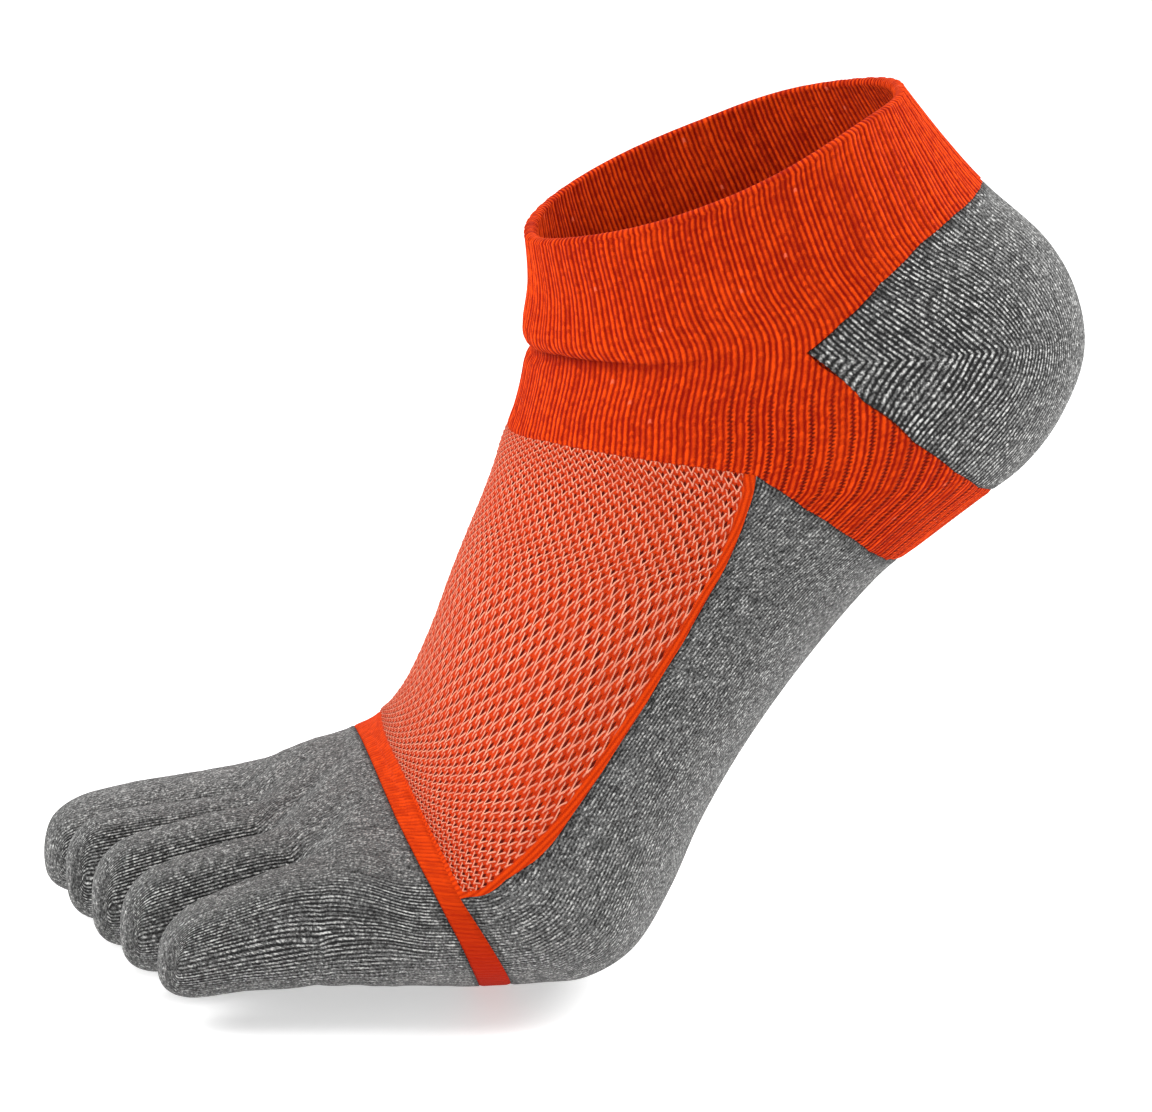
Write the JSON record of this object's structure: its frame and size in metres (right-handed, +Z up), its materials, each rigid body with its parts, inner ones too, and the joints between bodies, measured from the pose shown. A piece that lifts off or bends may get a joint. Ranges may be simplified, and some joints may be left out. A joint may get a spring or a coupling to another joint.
{
  "type": "toe sock",
  "caption": "Low ankle sock with a separate pocket for each toe, ribbed cuff, mesh instep, heel pocket and plain sole, held in the form of a foot on tiptoe.",
  "frame": {"origin": "centre of the rim of the ankle opening, where the foot goes in", "axes": "+Z up as the sock stands on tiptoe, the toes point to -X and the heel to +X, the little toe is on the -Y side and the big toe on the +Y side"},
  "size_m": [0.2037, 0.0925, 0.1749],
  "materials": {
    "rib_orange": "ribbed cotton knit",
    "mesh_orange": "open two-colour knit",
    "plain_orange": "plain knit",
    "heather_grey": "heather plain knit"
  },
  "bodies": {
    "root": {"cuff": "rib_orange", "ankle_band": "rib_orange", "heel_pocket": "heather_grey", "instep_mesh": "mesh_orange", "sole_panel": "heather_grey", "stripe_band": "plain_orange", "forefoot": "heather_grey", "toe_big": "heather_grey", "toe_second": "heather_grey", "toe_third": "heather_grey", "toe_fourth": "heather_grey", "toe_little": "heather_grey"}
  },
  "joints": []
}
